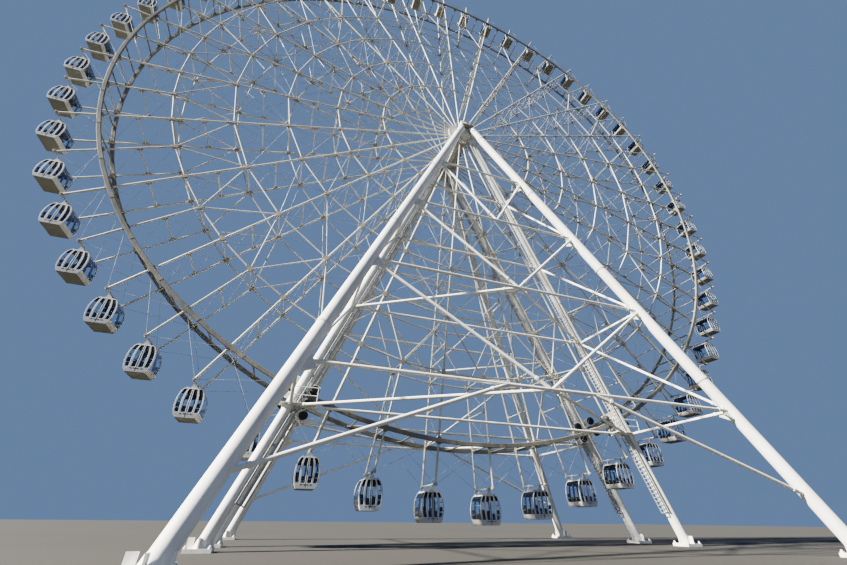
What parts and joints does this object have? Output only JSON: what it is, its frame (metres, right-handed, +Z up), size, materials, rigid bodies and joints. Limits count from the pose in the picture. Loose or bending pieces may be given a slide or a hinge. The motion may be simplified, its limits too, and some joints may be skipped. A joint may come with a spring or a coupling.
{
  "type": "observation wheel, 1:10 scale model",
  "caption": "Large observation wheel with enclosed cabins that stay level, on two four-legged supports, as a 1:10 scale model.",
  "frame": {"origin": "on the ground, midway between the front and rear supports, under the hub", "axes": "+Z up, +Y along the wheel's shaft from the front support to the rear one, +X across the wheel"},
  "size_m": [8.1688, 2.9374, 8.3986],
  "materials": {
    "white_paint": "satin white paint, slightly weathered",
    "cabin_shell": "satin light grey paint around blue-tinted glass",
    "hub_steel": "grey paint on machined steel"
  },
  "bodies": {
    "base": {"front_support": "white_paint", "rear_support": "white_paint"},
    "wheel": {"hub": "hub_steel", "front_wheel_frame": "white_paint", "rear_wheel_frame": "white_paint", "drive_rim": "white_paint"},
    "cabin_01_body": {"cabin_01": "cabin_shell"},
    "cabin_02_body": {"cabin_02": "cabin_shell"},
    "cabin_03_body": {"cabin_03": "cabin_shell"},
    "cabin_04_body": {"cabin_04": "cabin_shell"},
    "cabin_05_body": {"cabin_05": "cabin_shell"},
    "cabin_06_body": {"cabin_06": "cabin_shell"},
    "cabin_07_body": {"cabin_07": "cabin_shell"},
    "cabin_08_body": {"cabin_08": "cabin_shell"},
    "cabin_09_body": {"cabin_09": "cabin_shell"},
    "cabin_10_body": {"cabin_10": "cabin_shell"},
    "cabin_11_body": {"cabin_11": "cabin_shell"},
    "cabin_12_body": {"cabin_12": "cabin_shell"},
    "cabin_13_body": {"cabin_13": "cabin_shell"},
    "cabin_14_body": {"cabin_14": "cabin_shell"},
    "cabin_15_body": {"cabin_15": "cabin_shell"},
    "cabin_16_body": {"cabin_16": "cabin_shell"},
    "cabin_17_body": {"cabin_17": "cabin_shell"},
    "cabin_18_body": {"cabin_18": "cabin_shell"},
    "cabin_19_body": {"cabin_19": "cabin_shell"},
    "cabin_20_body": {"cabin_20": "cabin_shell"},
    "cabin_21_body": {"cabin_21": "cabin_shell"},
    "cabin_22_body": {"cabin_22": "cabin_shell"},
    "cabin_23_body": {"cabin_23": "cabin_shell"},
    "cabin_24_body": {"cabin_24": "cabin_shell"},
    "cabin_25_body": {"cabin_25": "cabin_shell"},
    "cabin_26_body": {"cabin_26": "cabin_shell"},
    "cabin_27_body": {"cabin_27": "cabin_shell"},
    "cabin_28_body": {"cabin_28": "cabin_shell"},
    "cabin_29_body": {"cabin_29": "cabin_shell"},
    "cabin_30_body": {"cabin_30": "cabin_shell"},
    "cabin_31_body": {"cabin_31": "cabin_shell"},
    "cabin_32_body": {"cabin_32": "cabin_shell"},
    "cabin_33_body": {"cabin_33": "cabin_shell"},
    "cabin_34_body": {"cabin_34": "cabin_shell"},
    "cabin_35_body": {"cabin_35": "cabin_shell"},
    "cabin_36_body": {"cabin_36": "cabin_shell"},
    "cabin_37_body": {"cabin_37": "cabin_shell"},
    "cabin_38_body": {"cabin_38": "cabin_shell"},
    "cabin_39_body": {"cabin_39": "cabin_shell"},
    "cabin_40_body": {"cabin_40": "cabin_shell"},
    "cabin_41_body": {"cabin_41": "cabin_shell"},
    "cabin_42_body": {"cabin_42": "cabin_shell"},
    "cabin_43_body": {"cabin_43": "cabin_shell"},
    "cabin_44_body": {"cabin_44": "cabin_shell"},
    "cabin_45_body": {"cabin_45": "cabin_shell"},
    "cabin_46_body": {"cabin_46": "cabin_shell"},
    "cabin_47_body": {"cabin_47": "cabin_shell"},
    "cabin_48_body": {"cabin_48": "cabin_shell"},
    "cabin_49_body": {"cabin_49": "cabin_shell"},
    "cabin_50_body": {"cabin_50": "cabin_shell"},
    "cabin_51_body": {"cabin_51": "cabin_shell"},
    "cabin_52_body": {"cabin_52": "cabin_shell"},
    "cabin_53_body": {"cabin_53": "cabin_shell"},
    "cabin_54_body": {"cabin_54": "cabin_shell"}
  },
  "joints": [
    {"name": "wheel_spin", "type": "hinge", "parent": "base", "child": "wheel", "pos_m": [0, 0, 4.37], "axis": [0, 1, 0], "continuous": true},
    {"name": "cabin_01_swing", "type": "hinge", "parent": "wheel", "child": "cabin_01_body", "pos_m": [-3.9581, 0, 4.94742], "axis": [0, 1, 0], "continuous": true},
    {"name": "cabin_02_swing", "type": "hinge", "parent": "wheel", "child": "cabin_02_body", "pos_m": [-3.99837, 0, 4.48401], "axis": [0, 1, 0], "continuous": true},
    {"name": "cabin_03_swing", "type": "hinge", "parent": "wheel", "child": "cabin_03_body", "pos_m": [-3.98457, 0, 4.01906], "axis": [0, 1, 0], "continuous": true},
    {"name": "cabin_04_swing", "type": "hinge", "parent": "wheel", "child": "cabin_04_body", "pos_m": [-3.91689, 0, 3.55885], "axis": [0, 1, 0], "continuous": true},
    {"name": "cabin_05_swing", "type": "hinge", "parent": "wheel", "child": "cabin_05_body", "pos_m": [-3.79624, 0, 3.10961], "axis": [0, 1, 0], "continuous": true},
    {"name": "cabin_06_swing", "type": "hinge", "parent": "wheel", "child": "cabin_06_body", "pos_m": [-3.62425, 0, 2.67742], "axis": [0, 1, 0], "continuous": true},
    {"name": "cabin_07_swing", "type": "hinge", "parent": "wheel", "child": "cabin_07_body", "pos_m": [-3.40324, 0, 2.26811], "axis": [0, 1, 0], "continuous": true},
    {"name": "cabin_08_swing", "type": "hinge", "parent": "wheel", "child": "cabin_08_body", "pos_m": [-3.13622, 0, 1.88723], "axis": [0, 1, 0], "continuous": true},
    {"name": "cabin_09_swing", "type": "hinge", "parent": "wheel", "child": "cabin_09_body", "pos_m": [-2.82678, 0, 1.53993], "axis": [0, 1, 0], "continuous": true},
    {"name": "cabin_10_swing", "type": "hinge", "parent": "wheel", "child": "cabin_10_body", "pos_m": [-2.47912, 0, 1.2309], "axis": [0, 1, 0], "continuous": true},
    {"name": "cabin_11_swing", "type": "hinge", "parent": "wheel", "child": "cabin_11_body", "pos_m": [-2.09793, 0, 0.96431], "axis": [0, 1, 0], "continuous": true},
    {"name": "cabin_12_swing", "type": "hinge", "parent": "wheel", "child": "cabin_12_body", "pos_m": [-1.68836, 0, 0.74379], "axis": [0, 1, 0], "continuous": true},
    {"name": "cabin_13_swing", "type": "hinge", "parent": "wheel", "child": "cabin_13_body", "pos_m": [-1.25597, 0, 0.5723], "axis": [0, 1, 0], "continuous": true},
    {"name": "cabin_14_swing", "type": "hinge", "parent": "wheel", "child": "cabin_14_body", "pos_m": [-0.80659, 0, 0.45217], "axis": [0, 1, 0], "continuous": true},
    {"name": "cabin_15_swing", "type": "hinge", "parent": "wheel", "child": "cabin_15_body", "pos_m": [-0.3463, 0, 0.38502], "axis": [0, 1, 0], "continuous": true},
    {"name": "cabin_16_swing", "type": "hinge", "parent": "wheel", "child": "cabin_16_body", "pos_m": [0.11867, 0, 0.37176], "axis": [0, 1, 0], "continuous": true},
    {"name": "cabin_17_swing", "type": "hinge", "parent": "wheel", "child": "cabin_17_body", "pos_m": [0.58203, 0, 0.41257], "axis": [0, 1, 0], "continuous": true},
    {"name": "cabin_18_swing", "type": "hinge", "parent": "wheel", "child": "cabin_18_body", "pos_m": [1.03752, 0, 0.5069], "axis": [0, 1, 0], "continuous": true},
    {"name": "cabin_19_swing", "type": "hinge", "parent": "wheel", "child": "cabin_19_body", "pos_m": [1.47899, 0, 0.65347], "axis": [0, 1, 0], "continuous": true},
    {"name": "cabin_20_swing", "type": "hinge", "parent": "wheel", "child": "cabin_20_body", "pos_m": [1.90045, 0, 0.8503], "axis": [0, 1, 0], "continuous": true},
    {"name": "cabin_21_swing", "type": "hinge", "parent": "wheel", "child": "cabin_21_body", "pos_m": [2.29621, 0, 1.09473], "axis": [0, 1, 0], "continuous": true},
    {"name": "cabin_22_swing", "type": "hinge", "parent": "wheel", "child": "cabin_22_body", "pos_m": [2.66092, 0, 1.38345], "axis": [0, 1, 0], "continuous": true},
    {"name": "cabin_23_swing", "type": "hinge", "parent": "wheel", "child": "cabin_23_body", "pos_m": [2.98965, 0, 1.71256], "axis": [0, 1, 0], "continuous": true},
    {"name": "cabin_24_swing", "type": "hinge", "parent": "wheel", "child": "cabin_24_body", "pos_m": [3.27794, 0, 2.0776], "axis": [0, 1, 0], "continuous": true},
    {"name": "cabin_25_swing", "type": "hinge", "parent": "wheel", "child": "cabin_25_body", "pos_m": [3.52191, 0, 2.47365], "axis": [0, 1, 0], "continuous": true},
    {"name": "cabin_26_swing", "type": "hinge", "parent": "wheel", "child": "cabin_26_body", "pos_m": [3.71825, 0, 2.89534], "axis": [0, 1, 0], "continuous": true},
    {"name": "cabin_27_swing", "type": "hinge", "parent": "wheel", "child": "cabin_27_body", "pos_m": [3.8643, 0, 3.33697], "axis": [0, 1, 0], "continuous": true},
    {"name": "cabin_28_swing", "type": "hinge", "parent": "wheel", "child": "cabin_28_body", "pos_m": [3.9581, 0, 3.79257], "axis": [0, 1, 0], "continuous": true},
    {"name": "cabin_29_swing", "type": "hinge", "parent": "wheel", "child": "cabin_29_body", "pos_m": [3.99837, 0, 4.25599], "axis": [0, 1, 0], "continuous": true},
    {"name": "cabin_30_swing", "type": "hinge", "parent": "wheel", "child": "cabin_30_body", "pos_m": [3.98457, 0, 4.72094], "axis": [0, 1, 0], "continuous": true},
    {"name": "cabin_31_swing", "type": "hinge", "parent": "wheel", "child": "cabin_31_body", "pos_m": [3.91689, 0, 5.18115], "axis": [0, 1, 0], "continuous": true},
    {"name": "cabin_32_swing", "type": "hinge", "parent": "wheel", "child": "cabin_32_body", "pos_m": [3.79624, 0, 5.63039], "axis": [0, 1, 0], "continuous": true},
    {"name": "cabin_33_swing", "type": "hinge", "parent": "wheel", "child": "cabin_33_body", "pos_m": [3.62425, 0, 6.06258], "axis": [0, 1, 0], "continuous": true},
    {"name": "cabin_34_swing", "type": "hinge", "parent": "wheel", "child": "cabin_34_body", "pos_m": [3.40324, 0, 6.47189], "axis": [0, 1, 0], "continuous": true},
    {"name": "cabin_35_swing", "type": "hinge", "parent": "wheel", "child": "cabin_35_body", "pos_m": [3.13622, 0, 6.85277], "axis": [0, 1, 0], "continuous": true},
    {"name": "cabin_36_swing", "type": "hinge", "parent": "wheel", "child": "cabin_36_body", "pos_m": [2.82678, 0, 7.20007], "axis": [0, 1, 0], "continuous": true},
    {"name": "cabin_37_swing", "type": "hinge", "parent": "wheel", "child": "cabin_37_body", "pos_m": [2.47912, 0, 7.5091], "axis": [0, 1, 0], "continuous": true},
    {"name": "cabin_38_swing", "type": "hinge", "parent": "wheel", "child": "cabin_38_body", "pos_m": [2.09793, 0, 7.77569], "axis": [0, 1, 0], "continuous": true},
    {"name": "cabin_39_swing", "type": "hinge", "parent": "wheel", "child": "cabin_39_body", "pos_m": [1.68836, 0, 7.99621], "axis": [0, 1, 0], "continuous": true},
    {"name": "cabin_40_swing", "type": "hinge", "parent": "wheel", "child": "cabin_40_body", "pos_m": [1.25597, 0, 8.1677], "axis": [0, 1, 0], "continuous": true},
    {"name": "cabin_41_swing", "type": "hinge", "parent": "wheel", "child": "cabin_41_body", "pos_m": [0.80659, 0, 8.28783], "axis": [0, 1, 0], "continuous": true},
    {"name": "cabin_42_swing", "type": "hinge", "parent": "wheel", "child": "cabin_42_body", "pos_m": [0.3463, 0, 8.35498], "axis": [0, 1, 0], "continuous": true},
    {"name": "cabin_43_swing", "type": "hinge", "parent": "wheel", "child": "cabin_43_body", "pos_m": [-0.11867, 0, 8.36824], "axis": [0, 1, 0], "continuous": true},
    {"name": "cabin_44_swing", "type": "hinge", "parent": "wheel", "child": "cabin_44_body", "pos_m": [-0.58203, 0, 8.32743], "axis": [0, 1, 0], "continuous": true},
    {"name": "cabin_45_swing", "type": "hinge", "parent": "wheel", "child": "cabin_45_body", "pos_m": [-1.03752, 0, 8.2331], "axis": [0, 1, 0], "continuous": true},
    {"name": "cabin_46_swing", "type": "hinge", "parent": "wheel", "child": "cabin_46_body", "pos_m": [-1.47899, 0, 8.08653], "axis": [0, 1, 0], "continuous": true},
    {"name": "cabin_47_swing", "type": "hinge", "parent": "wheel", "child": "cabin_47_body", "pos_m": [-1.90045, 0, 7.8897], "axis": [0, 1, 0], "continuous": true},
    {"name": "cabin_48_swing", "type": "hinge", "parent": "wheel", "child": "cabin_48_body", "pos_m": [-2.29621, 0, 7.64527], "axis": [0, 1, 0], "continuous": true},
    {"name": "cabin_49_swing", "type": "hinge", "parent": "wheel", "child": "cabin_49_body", "pos_m": [-2.66092, 0, 7.35655], "axis": [0, 1, 0], "continuous": true},
    {"name": "cabin_50_swing", "type": "hinge", "parent": "wheel", "child": "cabin_50_body", "pos_m": [-2.98965, 0, 7.02745], "axis": [0, 1, 0], "continuous": true},
    {"name": "cabin_51_swing", "type": "hinge", "parent": "wheel", "child": "cabin_51_body", "pos_m": [-3.27794, 0, 6.6624], "axis": [0, 1, 0], "continuous": true},
    {"name": "cabin_52_swing", "type": "hinge", "parent": "wheel", "child": "cabin_52_body", "pos_m": [-3.52191, 0, 6.26635], "axis": [0, 1, 0], "continuous": true},
    {"name": "cabin_53_swing", "type": "hinge", "parent": "wheel", "child": "cabin_53_body", "pos_m": [-3.71825, 0, 5.84466], "axis": [0, 1, 0], "continuous": true},
    {"name": "cabin_54_swing", "type": "hinge", "parent": "wheel", "child": "cabin_54_body", "pos_m": [-3.8643, 0, 5.40303], "axis": [0, 1, 0], "continuous": true}
  ],
  "couplings": [
    {"joint": "cabin_01_swing", "follows": "wheel_spin", "ratio": -1},
    {"joint": "cabin_02_swing", "follows": "wheel_spin", "ratio": -1},
    {"joint": "cabin_03_swing", "follows": "wheel_spin", "ratio": -1},
    {"joint": "cabin_04_swing", "follows": "wheel_spin", "ratio": -1},
    {"joint": "cabin_05_swing", "follows": "wheel_spin", "ratio": -1},
    {"joint": "cabin_06_swing", "follows": "wheel_spin", "ratio": -1},
    {"joint": "cabin_07_swing", "follows": "wheel_spin", "ratio": -1},
    {"joint": "cabin_08_swing", "follows": "wheel_spin", "ratio": -1},
    {"joint": "cabin_09_swing", "follows": "wheel_spin", "ratio": -1},
    {"joint": "cabin_10_swing", "follows": "wheel_spin", "ratio": -1},
    {"joint": "cabin_11_swing", "follows": "wheel_spin", "ratio": -1},
    {"joint": "cabin_12_swing", "follows": "wheel_spin", "ratio": -1},
    {"joint": "cabin_13_swing", "follows": "wheel_spin", "ratio": -1},
    {"joint": "cabin_14_swing", "follows": "wheel_spin", "ratio": -1},
    {"joint": "cabin_15_swing", "follows": "wheel_spin", "ratio": -1},
    {"joint": "cabin_16_swing", "follows": "wheel_spin", "ratio": -1},
    {"joint": "cabin_17_swing", "follows": "wheel_spin", "ratio": -1},
    {"joint": "cabin_18_swing", "follows": "wheel_spin", "ratio": -1},
    {"joint": "cabin_19_swing", "follows": "wheel_spin", "ratio": -1},
    {"joint": "cabin_20_swing", "follows": "wheel_spin", "ratio": -1},
    {"joint": "cabin_21_swing", "follows": "wheel_spin", "ratio": -1},
    {"joint": "cabin_22_swing", "follows": "wheel_spin", "ratio": -1},
    {"joint": "cabin_23_swing", "follows": "wheel_spin", "ratio": -1},
    {"joint": "cabin_24_swing", "follows": "wheel_spin", "ratio": -1},
    {"joint": "cabin_25_swing", "follows": "wheel_spin", "ratio": -1},
    {"joint": "cabin_26_swing", "follows": "wheel_spin", "ratio": -1},
    {"joint": "cabin_27_swing", "follows": "wheel_spin", "ratio": -1},
    {"joint": "cabin_28_swing", "follows": "wheel_spin", "ratio": -1},
    {"joint": "cabin_29_swing", "follows": "wheel_spin", "ratio": -1},
    {"joint": "cabin_30_swing", "follows": "wheel_spin", "ratio": -1},
    {"joint": "cabin_31_swing", "follows": "wheel_spin", "ratio": -1},
    {"joint": "cabin_32_swing", "follows": "wheel_spin", "ratio": -1},
    {"joint": "cabin_33_swing", "follows": "wheel_spin", "ratio": -1},
    {"joint": "cabin_34_swing", "follows": "wheel_spin", "ratio": -1},
    {"joint": "cabin_35_swing", "follows": "wheel_spin", "ratio": -1},
    {"joint": "cabin_36_swing", "follows": "wheel_spin", "ratio": -1},
    {"joint": "cabin_37_swing", "follows": "wheel_spin", "ratio": -1},
    {"joint": "cabin_38_swing", "follows": "wheel_spin", "ratio": -1},
    {"joint": "cabin_39_swing", "follows": "wheel_spin", "ratio": -1},
    {"joint": "cabin_40_swing", "follows": "wheel_spin", "ratio": -1},
    {"joint": "cabin_41_swing", "follows": "wheel_spin", "ratio": -1},
    {"joint": "cabin_42_swing", "follows": "wheel_spin", "ratio": -1},
    {"joint": "cabin_43_swing", "follows": "wheel_spin", "ratio": -1},
    {"joint": "cabin_44_swing", "follows": "wheel_spin", "ratio": -1},
    {"joint": "cabin_45_swing", "follows": "wheel_spin", "ratio": -1},
    {"joint": "cabin_46_swing", "follows": "wheel_spin", "ratio": -1},
    {"joint": "cabin_47_swing", "follows": "wheel_spin", "ratio": -1},
    {"joint": "cabin_48_swing", "follows": "wheel_spin", "ratio": -1},
    {"joint": "cabin_49_swing", "follows": "wheel_spin", "ratio": -1},
    {"joint": "cabin_50_swing", "follows": "wheel_spin", "ratio": -1},
    {"joint": "cabin_51_swing", "follows": "wheel_spin", "ratio": -1},
    {"joint": "cabin_52_swing", "follows": "wheel_spin", "ratio": -1},
    {"joint": "cabin_53_swing", "follows": "wheel_spin", "ratio": -1},
    {"joint": "cabin_54_swing", "follows": "wheel_spin", "ratio": -1}
  ]
}
